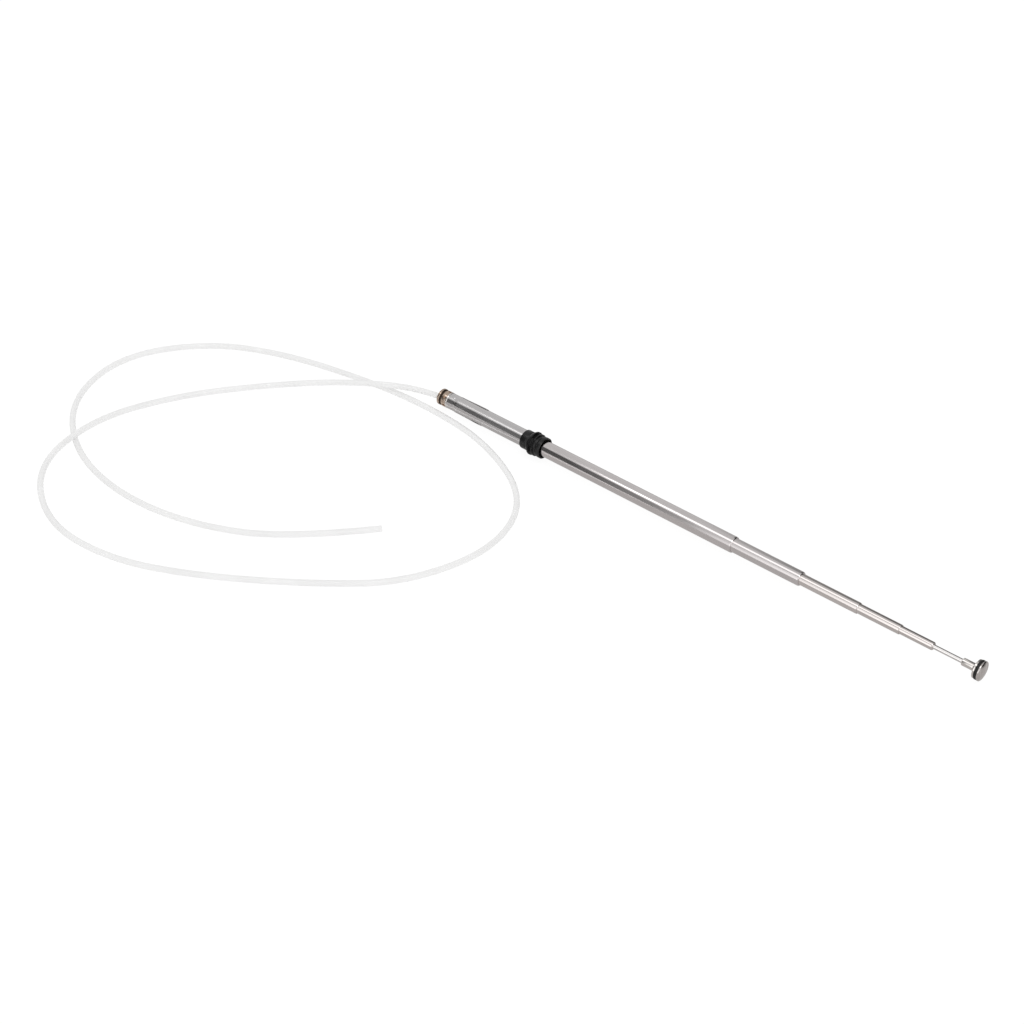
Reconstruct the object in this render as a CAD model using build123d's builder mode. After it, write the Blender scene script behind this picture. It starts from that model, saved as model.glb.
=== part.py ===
from build123d import *
import os
from math import pi, radians, sqrt, tan

# A telescopic aerial mast for a motorised car aerial, with the toothed nylon cable that drives it.
# Millimetres. +X runs along the mast's axis from its base to its tip, and x = 0 is the rear face of the
# contact ring. +Z is up. The mast lies on a flat surface, with its drive cable in loose loops beside it.

# Drive cable
CABLE_D = 3.0
CABLE_END_X = 12.0  # how far the loose cable reaches into the base
CROSSING_GAP = 1.0  # between two stretches of the cable where one lies over the other

# Contact ring, from its rear face forwards
RIM_LENGTH = 1.3
GROOVE_LENGTH = 1.4
GROOVE_DEPTH = 0.5
BAND_LENGTH = 2.7
BAND_DROP = 0.05  # of the band's outside below the rim's
NOTCH_COUNT = 6
NOTCH_FIRST_ANGLE = 135.0  # from +Y towards +Z
NOTCH_WIDTH = 0.9
NOTCH_LENGTH = 1.6
NOTCH_DEPTH = 0.6
SPIGOT_LENGTH = 5.1  # of the part inside the sleeve's neck
RING_EDGE = 0.25
WASHER_LENGTH = 0.9
WASHER_DROP = 0.08
LINER_WALL = 0.8
LINER_PLAY = 0.10  # around the cable
LINER_GAP = 0.3  # from the liner's ends to the ring's rear face and to tube 1

# Contact sleeve on the lower end of tube 1
SLEEVE_WALL = 0.25
SLEEVE_LENGTH = 43.5  # of the stretch on tube 1
NECK_LENGTH = 5.2
NECK_DROP = 0.15  # of the neck's outside below the sleeve's
NECK_WALL = 0.35
TUBE_SEAT = 0.5  # from the neck's front end to the lower end of tube 1
LEAF_COUNT = 2
LEAF_FIRST_ANGLE = 228.0
LEAF_ARC = 40.0
LEAF_SLOT_ARC = 3.5
LEAF_LENGTH = 17.0
LEAF_LIFT = 0.25
LEAF_PEAK = 1.6  # from the leaf's highest place to its free end
LEAF_ROOT_GAP = 0.7  # from the lower end of tube 1 to the slots' start
LEAF_END_GAP = 0.5

# Nested tubes, sized outwards from the cable that runs through the thinnest one
TUBE_WALL = {1: 0.30, 2: 0.30, 3: 0.22, 4: 0.20, 5: 0.25}
BORE_5_PLAY = 0.20  # around the cable
TUBE_GAP = {5: 0.175, 4: 0.18, 3: 0.45, 2: 0.225}  # around each tube, inside the next one out
TUBE_1_LENGTH = 171.3
TUBE_SHOWN = {2: 37.5, 3: 31.1, 4: 22.0, 5: 16.8}  # as the mast stands, part open
RETRACTED_SHOWN = 2.0  # of each tube when it is pushed home
RETRACTED_STEP = 5.0  # from one tube's lower end to the next one's, pushed home
TUBE_2_HOME = 1.5  # from the lower end of tube 1 to that of tube 2, pushed home
LIP_LENGTH = 1.0
LIP_PLAY = 0.05
LIP_ROUND = 0.35
LIP_FLAT = 0.05  # of the front face that the rounding leaves
FLARE_LENGTH = 1.0
FLARE_PLAY = 0.03

# Contact springs, one round the lower end of each sliding section
SPRING_LENGTH = 8.0
SPRING_PLAY = 0.02
SPRING_SLOT = 0.3
SPRING_SLOTS = 6
SPRING_RIM = 1.0  # of whole metal at each end of the slots
STOP_GAP = 0.3  # from a spring's top to the lip that would stop it

# Rod and tip
ROD_D = 2.1
ROD_SHOWN = 14.65
ROD_HOME_GAP = 1.0  # from the ferrule to the last tube's lip, pushed home
ROD_RISE = 20.0  # from the lower end of tube 5 to the rod's
FERRULE_WALL = 0.78
FERRULE_LENGTH = 5.65
FERRULE_ROUND = 0.25
TIP_D = 9.5
TIP_SEAL_DROP = 0.05
TIP_BASE_DROP = 0.25
TIP_BASE_LENGTH = 2.1
TIP_BASE_EDGE = 0.7
TIP_SEAL_LENGTH = 1.5
TIP_CAP_EDGE = 0.7
TIP_CAP_ROUND = 0.2
TIP_DOME = 0.95
TIP_SPIGOT_WALL = 0.9
TIP_BLIND = 0.5  # the rod's end, beyond the cap's rear face
CRIMP_WALL = 0.12
CRIMP_LENGTH = 12.0
CRIMP_HOLD = 4.0  # of the crimp's length on the rod
CRIMP_STUB = 6.0  # of cable below the crimp

# Guide bush that slides on tube 1. Walls are from the outside of tube 1, lengths from the bush's rear face on.
BUSH_REST = 0.1  # from the sleeve's end to the bush
BUSH_PLAY = 0.05
BUSH_FLANGE_WALL = 0.88
BUSH_RIDGE_WALL = 2.05
BUSH_BARREL_WALL = 1.05
BUSH_RIDGE_2_WALL = 1.72
BUSH_LIP_WALL = 1.40
BUSH_FLAT_WALL = 1.30
BUSH_FLANGE_LENGTH = 3.6
BUSH_RISE_LENGTH = 2.1
BUSH_RIDGE_LENGTH = 0.8
BUSH_GROOVE_LENGTH = 0.7
BUSH_RISE_2_LENGTH = 0.9
BUSH_RIDGE_2_LENGTH = 0.7
BUSH_BARREL_LENGTH = 1.5
BUSH_SPREAD_LENGTH = 0.6
BUSH_LIP_LENGTH = 1.8
BUSH_EDGE = 0.6
BUSH_FLAT_TURN = 54.0  # of the flats from the top, towards the front
MOUTH_WALL = 0.80
MOUTH_DEPTH = 3.2
WIPER_LENGTH = 2.0
WIPER_CHAMFER = 0.35

# Sizes that follow
tube_bore = {5: CABLE_D + 2 * BORE_5_PLAY}
tube_od = {5: tube_bore[5] + 2 * TUBE_WALL[5]}
for inner in (5, 4, 3, 2):
    tube_bore[inner - 1] = tube_od[inner] + 2 * TUBE_GAP[inner]
    tube_od[inner - 1] = tube_bore[inner - 1] + 2 * TUBE_WALL[inner - 1]

groove_x = RIM_LENGTH
band_x = groove_x + GROOVE_LENGTH
washer_x = band_x + BAND_LENGTH
neck_x = washer_x + WASHER_LENGTH
neck_end_x = neck_x + NECK_LENGTH
tube_1_x = neck_end_x + TUBE_SEAT
sleeve_end_x = tube_1_x + SLEEVE_LENGTH
bush_x = sleeve_end_x + BUSH_REST

front_x = {1: tube_1_x + TUBE_1_LENGTH}
tube_length = {1: TUBE_1_LENGTH, 2: TUBE_1_LENGTH + RETRACTED_SHOWN - TUBE_2_HOME}
for n in (2, 3, 4, 5):
    front_x[n] = front_x[n - 1] + TUBE_SHOWN[n]
for n in (3, 4, 5):
    tube_length[n] = tube_length[n - 1] + RETRACTED_SHOWN - RETRACTED_STEP
rear_x = {n: front_x[n] - tube_length[n] for n in front_x}

ferrule_x = front_x[5] + ROD_SHOWN
ferrule_end_x = ferrule_x + FERRULE_LENGTH
base_edge_x = ferrule_end_x + TIP_BASE_LENGTH - TIP_BASE_EDGE
seal_x = ferrule_end_x + TIP_BASE_LENGTH
cap_x = seal_x + TIP_SEAL_LENGTH
dome_x = cap_x + TIP_CAP_EDGE
rod_end_x = cap_x + TIP_BLIND
rod_x = rear_x[5] + ROD_RISE
crimp_x = rod_x + CRIMP_HOLD - CRIMP_LENGTH
rod_spring_x = rod_x + CRIMP_HOLD

tube_r = tube_od[1] / 2
sleeve_r = tube_r + SLEEVE_WALL
neck_r = sleeve_r - NECK_DROP
rod_r = ROD_D / 2
cable_r = CABLE_D / 2
bush_r = tube_r + BUSH_RIDGE_WALL
floor_z = -bush_r

# Drive cable's route. Heights are of its centre line: level with the mast, on the surface, or over itself.
IN_LINE = 0.0
FLAT = floor_z + cable_r
OVER = FLAT + CABLE_D + CROSSING_GAP
CABLE_ROUTE = [
    (CABLE_END_X, 0, IN_LINE),
    (-10, 0, IN_LINE),
    (-46, -21, OVER),
    (-80, -48, FLAT),
    (-106, -83, FLAT),
    (-118, -128, OVER),
    (-109, -172, OVER),
    (-74, -195, FLAT),
    (-30, -193, FLAT),
    (10, -174, FLAT),
    (54, -143, FLAT),
    (84, -115, FLAT),
    (98, -71, FLAT),
    (84, -33, FLAT),
    (42, -11.5, FLAT),
    (-1, -6.5, FLAT),
    (-43, -10, FLAT),
    (-94, -21, FLAT),
    (-132, -41, FLAT),
    (-156, -79, FLAT),
    (-145, -121, FLAT),
    (-109, -149, FLAT),
    (-64, -158, FLAT),
    (-19, -150, FLAT),
    (20, -128, FLAT),
    (48, -94, FLAT),
]
ARC_SHARE = 0.45


def turned(*points):
    """Turn a closed outline of (place along the mast, radius) points about the mast's axis."""
    with BuildSketch(Plane.XY) as outline:
        with BuildLine():
            Polyline(*points, close=True)
        make_face()
    revolve(outline.sketch, axis=Axis.X)


def part_turned(start, arc, mode, *points):
    """Turn a closed outline through part of a circle, centred start degrees round from +Y towards +Z."""
    side = Plane.XY.rotated((start - arc / 2, 0, 0))
    with BuildSketch(side) as outline:
        with BuildLine():
            Polyline(*points, close=True)
        make_face()
    revolve(outline.sketch, axis=Axis.X, revolution_arc=arc, mode=mode)


def rims(part, x, radius):
    """The circular edges of a part at one place along the mast, of one radius."""
    return [
        edge
        for edge in part.edges().filter_by(GeomType.CIRCLE)
        if abs(edge.center(CenterOf.BOUNDING_BOX).X - x) < 1e-4 and abs(edge.radius - radius) < 1e-4
    ]


def keep(node, name):
    node.part.label = name
    export_step(node.part, f"parts/{name}.step")


def route_radii(points):
    """The radius of the arc at each corner of a route: as large as its two runs allow."""
    corners = [Vector(*point) for point in points]
    radii = []
    for before, here, after in zip(corners, corners[1:], corners[2:]):
        turn = (here - before).get_angle(after - here)
        shorter = min((here - before).length, (after - here).length)
        radii.append(ARC_SHARE * shorter / tan(radians(turn) / 2))
    return radii


os.makedirs("parts", exist_ok=True)

# Contact ring: a thin rim, a groove and a notched band, with a spigot inside the sleeve's neck
band_r = sleeve_r - BAND_DROP
groove_r = sleeve_r - GROOVE_DEPTH
spigot_r = neck_r - NECK_WALL
liner_bore = cable_r + LINER_PLAY
liner_r = liner_bore + LINER_WALL
with BuildPart() as contact_ring:
    turned(
        (0, liner_r),
        (0, sleeve_r),
        (groove_x, sleeve_r),
        (groove_x, groove_r),
        (band_x, groove_r),
        (band_x, band_r),
        (washer_x, band_r),
        (washer_x, spigot_r),
        (washer_x + SPIGOT_LENGTH, spigot_r),
        (washer_x + SPIGOT_LENGTH, liner_r),
    )
    fillet(rims(contact_ring, groove_x, sleeve_r), RING_EDGE)
    fillet(rims(contact_ring, band_x, band_r), RING_EDGE)
    with BuildSketch(Plane.YZ.offset(washer_x - NOTCH_LENGTH)):
        with PolarLocations(band_r, NOTCH_COUNT, start_angle=NOTCH_FIRST_ANGLE):
            Rectangle(2 * NOTCH_DEPTH, NOTCH_WIDTH)
    extrude(amount=NOTCH_LENGTH, mode=Mode.SUBTRACT)
keep(contact_ring, "contact_ring")

# Bright washer between the ring and the sleeve's neck
washer_r = sleeve_r - WASHER_DROP
with BuildPart() as ring_washer:
    turned((washer_x, spigot_r), (washer_x, washer_r), (neck_x, washer_r), (neck_x, spigot_r))
    fillet(rims(ring_washer, neck_x, washer_r), RING_EDGE)
keep(ring_washer, "ring_washer")

# Nylon liner that leads the cable into the base
with BuildPart() as cable_liner:
    turned(
        (LINER_GAP, liner_bore),
        (LINER_GAP, liner_r),
        (tube_1_x - LINER_GAP, liner_r),
        (tube_1_x - LINER_GAP, liner_bore),
    )
keep(cable_liner, "cable_liner")

# Contact sleeve: a neck on the ring's spigot, and two sprung leaves that press on the aerial's housing
leaf_x = tube_1_x + LEAF_ROOT_GAP
leaf_end_x = tube_1_x + LEAF_LENGTH
leaf_peak_x = leaf_end_x - LEAF_PEAK
leaf_r = sleeve_r + LEAF_LIFT
under_sleeve_r = tube_r - SLEEVE_WALL
with BuildPart() as contact_sleeve:
    turned(
        (neck_x, spigot_r),
        (neck_x, neck_r),
        (neck_end_x - NECK_DROP, neck_r),
        (neck_end_x, sleeve_r),
        (sleeve_end_x, sleeve_r),
        (sleeve_end_x, tube_r),
        (tube_1_x, tube_r),
        (tube_1_x, spigot_r),
    )
    for leaf in range(LEAF_COUNT):
        angle = LEAF_FIRST_ANGLE + leaf * 360 / LEAF_COUNT
        part_turned(
            angle,
            LEAF_ARC + 2 * LEAF_SLOT_ARC,
            Mode.SUBTRACT,
            (leaf_x, under_sleeve_r),
            (leaf_x, leaf_r),
            (leaf_end_x + LEAF_END_GAP, leaf_r),
            (leaf_end_x + LEAF_END_GAP, under_sleeve_r),
        )
        part_turned(
            angle,
            LEAF_ARC,
            Mode.ADD,
            (tube_1_x, tube_r),
            (tube_1_x, sleeve_r),
            (leaf_peak_x, leaf_r),
            (leaf_end_x, sleeve_r + LEAF_LIFT / 2),
            (leaf_end_x, tube_r + LEAF_LIFT / 2),
            (leaf_peak_x, tube_r + LEAF_LIFT),
        )
keep(contact_sleeve, "contact_sleeve")

# Tubes: each has a rolled-in lip at its front end, and all but the first a flared lower end
for n in tube_od:
    outer = tube_od[n] / 2
    bore = tube_bore[n] / 2
    within = tube_od[n + 1] / 2 if n < 5 else rod_r
    lip = within + LIP_PLAY
    outline = [
        (rear_x[n], bore),
        (rear_x[n], outer),
        (front_x[n], outer),
        (front_x[n], lip),
        (front_x[n] - LIP_LENGTH, lip),
        (front_x[n] - LIP_LENGTH, bore),
    ]
    if n > 1:
        flare = tube_bore[n - 1] / 2 - FLARE_PLAY
        flare_end_x = rear_x[n] + FLARE_LENGTH
        outline[1:2] = [(rear_x[n], flare), (flare_end_x, flare), (flare_end_x, outer)]
    with BuildPart() as tube:
        turned(*outline)
        fillet(rims(tube, front_x[n], outer), min(LIP_ROUND, outer - lip - LIP_FLAT))
    keep(tube, f"tube_{n}")

# Contact springs: slotted bronze sleeves that slide in the next tube out and stop against its lip
spring_seats = {"rod_spring": (rod_spring_x, rod_r, tube_bore[5] / 2)}
for n in TUBE_GAP:
    spring_seats[f"contact_spring_{n}"] = (rear_x[n] + FLARE_LENGTH, tube_od[n] / 2, tube_bore[n - 1] / 2)
for name, (start, inside, around) in spring_seats.items():
    outside = around - SPRING_PLAY
    with BuildPart() as spring:
        turned(
            (start, inside),
            (start, outside),
            (start + SPRING_LENGTH, outside),
            (start + SPRING_LENGTH, inside),
        )
        with BuildSketch(Plane.YZ.offset(start + SPRING_RIM)):
            with PolarLocations(outside, SPRING_SLOTS):
                Rectangle(2 * outside, SPRING_SLOT)
            Circle(inside, mode=Mode.SUBTRACT)
        extrude(amount=SPRING_LENGTH - 2 * SPRING_RIM, mode=Mode.SUBTRACT)
    keep(spring, name)

# Rod, with the cable crimped to its lower end
with BuildPart() as tip_rod:
    with BuildSketch(Plane.YZ.offset(rod_x)):
        Circle(rod_r)
    extrude(amount=rod_end_x - rod_x)
keep(tip_rod, "tip_rod")

with BuildPart() as cable_crimp:
    crimp_r = cable_r + CRIMP_WALL
    turned(
        (crimp_x, cable_r),
        (crimp_x, crimp_r),
        (rod_spring_x, crimp_r),
        (rod_spring_x, rod_r),
        (rod_x, rod_r),
        (rod_x, cable_r),
    )
keep(cable_crimp, "cable_crimp")

with BuildPart() as cable_stub:
    with BuildSketch(Plane.YZ.offset(crimp_x - CRIMP_STUB)):
        Circle(cable_r)
    extrude(amount=rod_x - crimp_x + CRIMP_STUB)
keep(cable_stub, "cable_stub")

# Tip: ferrule, flanged base, rubber ring and domed cap
cap_r = TIP_D / 2
with BuildPart() as tip_ferrule:
    ferrule_r = rod_r + FERRULE_WALL
    turned((ferrule_x, rod_r), (ferrule_x, ferrule_r), (ferrule_end_x, ferrule_r), (ferrule_end_x, rod_r))
    fillet(rims(tip_ferrule, ferrule_x, ferrule_r), FERRULE_ROUND)
keep(tip_ferrule, "tip_ferrule")

with BuildPart() as tip_base:
    base_r = cap_r - TIP_BASE_DROP
    tip_spigot_r = rod_r + TIP_SPIGOT_WALL
    turned(
        (ferrule_end_x, rod_r),
        (ferrule_end_x, ferrule_r),
        (base_edge_x, base_r),
        (seal_x, base_r),
        (seal_x, tip_spigot_r),
        (cap_x, tip_spigot_r),
        (cap_x, rod_r),
    )
keep(tip_base, "tip_base")

with BuildPart() as tip_seal:
    seal_r = cap_r - TIP_SEAL_DROP
    turned((seal_x, tip_spigot_r), (seal_x, seal_r), (cap_x, seal_r), (cap_x, tip_spigot_r))
    fillet(rims(tip_seal, seal_x, seal_r) + rims(tip_seal, cap_x, seal_r), TIP_SEAL_LENGTH / 4)
keep(tip_seal, "tip_seal")

dome_sphere_r = (cap_r**2 + TIP_DOME**2) / (2 * TIP_DOME)
dome_mid_x = dome_x + TIP_DOME - dome_sphere_r + sqrt(dome_sphere_r**2 - (cap_r / 2) ** 2)
dome_end_x = dome_x + TIP_DOME
cap_back = [(dome_end_x, 0), (rod_end_x, 0), (rod_end_x, rod_r), (cap_x, rod_r)]
with BuildPart() as tip_cap:
    with BuildSketch(Plane.XY):
        with BuildLine():
            Polyline(*cap_back, (cap_x, cap_r), (dome_x, cap_r))
            ThreePointArc((dome_x, cap_r), (dome_mid_x, cap_r / 2), (dome_end_x, 0))
        make_face()
    revolve(axis=Axis.X)
    fillet(rims(tip_cap, cap_x, cap_r) + rims(tip_cap, dome_x, cap_r), TIP_CAP_ROUND)
keep(tip_cap, "tip_cap")

# Guide bush: a flange, two barbed ridges broken by flats, a barrel and a lipped mouth with a wiper in it
bush_bore = tube_r + BUSH_PLAY
barrel_r = tube_r + BUSH_BARREL_WALL
flange_r = tube_r + BUSH_FLANGE_WALL
ridge_2_r = tube_r + BUSH_RIDGE_2_WALL
bush_lip_r = tube_r + BUSH_LIP_WALL
mouth_r = tube_r + MOUTH_WALL
ridge_x = bush_x + BUSH_FLANGE_LENGTH
ridge_top_x = ridge_x + BUSH_RISE_LENGTH
ridge_end_x = ridge_top_x + BUSH_RIDGE_LENGTH
ridge_2_x = ridge_end_x + BUSH_GROOVE_LENGTH
ridge_2_top_x = ridge_2_x + BUSH_RISE_2_LENGTH
ridge_2_end_x = ridge_2_top_x + BUSH_RIDGE_2_LENGTH
barrel_end_x = ridge_2_end_x + BUSH_BARREL_LENGTH
lip_x = barrel_end_x + BUSH_SPREAD_LENGTH
bush_end_x = lip_x + BUSH_LIP_LENGTH
mouth_x = bush_end_x - MOUTH_DEPTH
with BuildPart() as guide_bush:
    turned(
        (bush_x, bush_bore),
        (bush_x, flange_r),
        (ridge_x, flange_r),
        (ridge_top_x, bush_r),
        (ridge_end_x, bush_r),
        (ridge_end_x, barrel_r),
        (ridge_2_x, barrel_r),
        (ridge_2_top_x, ridge_2_r),
        (ridge_2_end_x, ridge_2_r),
        (ridge_2_end_x, barrel_r),
        (barrel_end_x, barrel_r),
        (lip_x, bush_lip_r),
        (bush_end_x, bush_lip_r),
        (bush_end_x, mouth_r),
        (mouth_x, mouth_r),
        (mouth_x, bush_bore),
    )
    fillet(rims(guide_bush, bush_x, flange_r), min(BUSH_EDGE, (flange_r - bush_bore) / 2))
    with BuildSketch(Plane.YZ.offset(ridge_x)):
        with Locations(Rotation(0, 0, -BUSH_FLAT_TURN)):
            with Locations((0, bush_r + tube_r + BUSH_FLAT_WALL), (0, -bush_r - tube_r - BUSH_FLAT_WALL)):
                Rectangle(2 * bush_r, 2 * bush_r)
    extrude(amount=ridge_2_end_x - ridge_x, mode=Mode.SUBTRACT)
keep(guide_bush, "guide_bush")

with BuildPart() as bush_wiper:
    turned(
        (mouth_x, bush_bore),
        (mouth_x, mouth_r),
        (mouth_x + WIPER_LENGTH, mouth_r),
        (mouth_x + WIPER_LENGTH, bush_bore + WIPER_CHAMFER),
        (mouth_x + WIPER_LENGTH - WIPER_CHAMFER, bush_bore),
    )
keep(bush_wiper, "bush_wiper")

# Drive cable: straight runs joined by tangent arcs
cable_radii = route_radii(CABLE_ROUTE)
with BuildPart() as drive_cable:
    with BuildLine() as cable_line:
        FilletPolyline(*CABLE_ROUTE, radius=cable_radii)
    with BuildSketch(Plane(origin=CABLE_ROUTE[0], z_dir=(-1, 0, 0))):
        Circle(cable_r)
    sweep()
keep(drive_cable, "drive_cable")

cable_length = cable_line.wires()[0].length
print("cable radii", [round(radius) for radius in cable_radii])
print("cable length", round(cable_length, 1))
print("volume over plain tube", round(drive_cable.part.volume / (pi * cable_r**2 * cable_length), 4))
print("tube outside diameters", {n: round(size, 2) for n, size in tube_od.items()})
for n in TUBE_SHOWN:
    print("travel in", n, round(TUBE_SHOWN[n] - RETRACTED_SHOWN, 1))
print("travel in, rod", round(ROD_SHOWN - ROD_HOME_GAP, 2))
for n in (2, 3, 4, 5):
    stop = front_x[n - 1] - LIP_LENGTH - (rear_x[n] + FLARE_LENGTH + SPRING_LENGTH) - STOP_GAP
    print("travel out", n, round(stop, 1))
print("travel out, rod", round(front_x[5] - LIP_LENGTH - (rod_spring_x + SPRING_LENGTH) - STOP_GAP, 1))
print("bush travel", round(front_x[1] - LIP_ROUND - bush_end_x, 1))
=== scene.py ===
from math import atan2, cos, pi, radians, sin, sqrt

import bmesh
import bpy
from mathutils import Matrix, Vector


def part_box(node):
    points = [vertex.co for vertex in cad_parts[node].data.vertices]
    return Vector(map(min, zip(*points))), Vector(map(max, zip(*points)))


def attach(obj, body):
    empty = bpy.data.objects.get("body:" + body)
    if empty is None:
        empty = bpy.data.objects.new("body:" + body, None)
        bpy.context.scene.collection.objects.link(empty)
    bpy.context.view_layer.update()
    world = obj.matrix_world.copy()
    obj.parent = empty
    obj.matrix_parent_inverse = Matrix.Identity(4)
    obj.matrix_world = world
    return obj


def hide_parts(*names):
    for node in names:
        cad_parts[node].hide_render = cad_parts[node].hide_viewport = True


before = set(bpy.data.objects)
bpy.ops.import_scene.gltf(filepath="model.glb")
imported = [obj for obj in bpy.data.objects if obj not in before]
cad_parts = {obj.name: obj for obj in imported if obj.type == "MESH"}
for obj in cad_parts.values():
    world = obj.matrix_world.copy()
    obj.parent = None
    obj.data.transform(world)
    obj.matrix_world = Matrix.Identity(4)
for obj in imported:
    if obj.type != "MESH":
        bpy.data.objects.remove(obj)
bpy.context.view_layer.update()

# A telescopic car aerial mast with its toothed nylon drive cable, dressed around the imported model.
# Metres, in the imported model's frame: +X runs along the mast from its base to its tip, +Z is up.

MM = 0.001
scene = bpy.context.scene

# ---------------------------------------------------------------- sizes from the frame


def ends(node):
    """Where a node starts and ends along the mast."""
    low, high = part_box(node)
    return low.x, high.x


def off_axis(node, low, high):
    """How far from the mast's axis a node's points lie, between two places along it."""
    points = [v.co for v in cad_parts[node].data.vertices]
    return [sqrt(p.y**2 + p.z**2) for p in points if low <= p.x <= high]


def reach(node, low, high):
    """The largest radius that a node has between two places along the mast."""
    return max(off_axis(node, low, high))


def inner(node, low, high):
    """The smallest radius that a node has between two places along the mast."""
    return min(off_axis(node, low, high))


SLACK = 0.02 * MM  # how far from a node's end its own points are looked for
FLOOR_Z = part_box("guide_bush")[0].z  # the mast lies on its widest piece
CABLE_D = 3.0 * MM
STEPS = 128  # round a turned piece
LENGTHWISE = (30, 2500, 2500)  # how fast the lines of drawing change along x, y and z
ROUNDABOUT = (2500, 120, 120)  # and those of turning

# ---------------------------------------------------------------- shared effects


def socket(tree, name, kind, value=None, out=False):
    made = tree.interface.new_socket(name=name, in_out="OUTPUT" if out else "INPUT", socket_type=kind)
    if value is not None:
        made.default_value = value
    return made


class Nodes:
    """A short way to add and join the nodes of one tree."""

    def __init__(self, tree):
        self.tree = tree

    def add(self, kind, *inputs, **settings):
        """Add a node, set its properties, and join or set its first inputs in order; None skips one."""
        node = self.tree.nodes.new(kind)
        for key, value in settings.items():
            setattr(node, key, value)
        for place, value in enumerate(inputs):
            self.put(node, place, value)
        return node

    def put(self, node, place, value):
        """Join a socket to an input, or set the input's own value."""
        if isinstance(value, bpy.types.NodeSocket):
            self.tree.links.new(value, node.inputs[place])
        elif value is not None:
            node.inputs[place].default_value = value

    def math(self, operation, *inputs, clamp=False):
        return self.add("ShaderNodeMath", *inputs, operation=operation, use_clamp=clamp).outputs[0]

    def vector(self, operation, *inputs):
        return self.add("ShaderNodeVectorMath", *inputs, operation=operation)

    def rise(self, value, start, stop):
        """0 below start to 1 above stop, smoothly; start may be the larger, and then it falls."""
        node = self.add("ShaderNodeMapRange", value, start, stop, interpolation_type="SMOOTHSTEP")
        return node.outputs[0]

    def mix(self, factor, first, second):
        """A colour between two colours."""
        node = self.add("ShaderNodeMix", data_type="RGBA")
        self.put(node, 0, factor)
        self.put(node, 6, first)
        self.put(node, 7, second)
        return node.outputs[2]


def new_group(name, kind="ShaderNodeTree"):
    tree = bpy.data.node_groups.new(name, kind)
    return tree, Nodes(tree)


def drawn_lines_group():
    """Fine lines that drawing or turning leaves in metal, and the slow cloudiness of handling."""
    tree, n = new_group("drawn_lines")
    socket(tree, "Stretch", "NodeSocketVector", LENGTHWISE)
    socket(tree, "Contrast", "NodeSocketFloat", 1.0)
    socket(tree, "Base Roughness", "NodeSocketFloat", 0.2)
    socket(tree, "Roughness Spread", "NodeSocketFloat", 0.1)
    socket(tree, "Dark", "NodeSocketColor", (0.5, 0.5, 0.5, 1))
    socket(tree, "Light", "NodeSocketColor", (0.6, 0.6, 0.6, 1))
    socket(tree, "Color", "NodeSocketColor", out=True)
    socket(tree, "Roughness", "NodeSocketFloat", out=True)
    socket(tree, "Height", "NodeSocketFloat", out=True)
    entry = n.add("NodeGroupInput")
    place = n.add("ShaderNodeTexCoord").outputs["Object"]
    stretched = n.vector("MULTIPLY", place, entry.outputs["Stretch"]).outputs[0]
    lines = n.add("ShaderNodeTexNoise", stretched)
    lines.inputs["Scale"].default_value = 1.0
    lines.inputs["Detail"].default_value = 3.0
    cloud = n.add("ShaderNodeTexNoise", place)
    cloud.inputs["Scale"].default_value = 90.0
    cloud.inputs["Detail"].default_value = 2.0
    both = n.math("ADD", lines.outputs[0], cloud.outputs[0])
    centred = n.math("SUBTRACT", both, 1.0)
    swing = n.math("MULTIPLY_ADD", centred, entry.outputs["Contrast"], 0.5, clamp=True)
    spread, base = entry.outputs["Roughness Spread"], entry.outputs["Base Roughness"]
    rough = n.math("MULTIPLY_ADD", centred, spread, base, clamp=True)
    color = n.mix(swing, entry.outputs["Dark"], entry.outputs["Light"])
    n.add("NodeGroupOutput", color, rough, lines.outputs[0])
    return tree


def painted_recess_shade_group():
    """A mask of painted shade: what lies nearer the mast's axis than a radius, on one stretch, thinned in
    patches.
    """
    tree, n = new_group("painted_recess_shade")
    socket(tree, "Radius", "NodeSocketFloat", 4 * MM)
    socket(tree, "Blend", "NodeSocketFloat", 0.1 * MM)
    socket(tree, "From", "NodeSocketFloat", 0.0)
    socket(tree, "To", "NodeSocketFloat", 1.0)
    socket(tree, "Patchiness", "NodeSocketFloat", 0.3)
    socket(tree, "Mask", "NodeSocketFloat", out=True)
    entry = n.add("NodeGroupInput")
    place = n.add("ShaderNodeTexCoord").outputs["Object"]
    across = n.vector("MULTIPLY", place, (0, 1, 1)).outputs[0]
    radius = n.vector("LENGTH", across).outputs["Value"]
    depth = n.math("SUBTRACT", entry.outputs["Radius"], radius)
    deep = n.math("DIVIDE", depth, entry.outputs["Blend"], clamp=True)
    along = n.add("ShaderNodeSeparateXYZ", place).outputs["X"]
    after = n.math("GREATER_THAN", along, entry.outputs["From"])
    before = n.math("LESS_THAN", along, entry.outputs["To"])
    share = n.math("MULTIPLY", deep, n.math("MULTIPLY", after, before))
    patches = n.add("ShaderNodeTexNoise", place)
    patches.inputs["Scale"].default_value = 700.0
    patches.inputs["Detail"].default_value = 3.0
    thinning = n.math("MULTIPLY", patches.outputs[0], entry.outputs["Patchiness"])
    n.add("NodeGroupOutput", n.math("SUBTRACT", share, n.math("MULTIPLY", share, thinning), clamp=True))
    return tree


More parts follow.
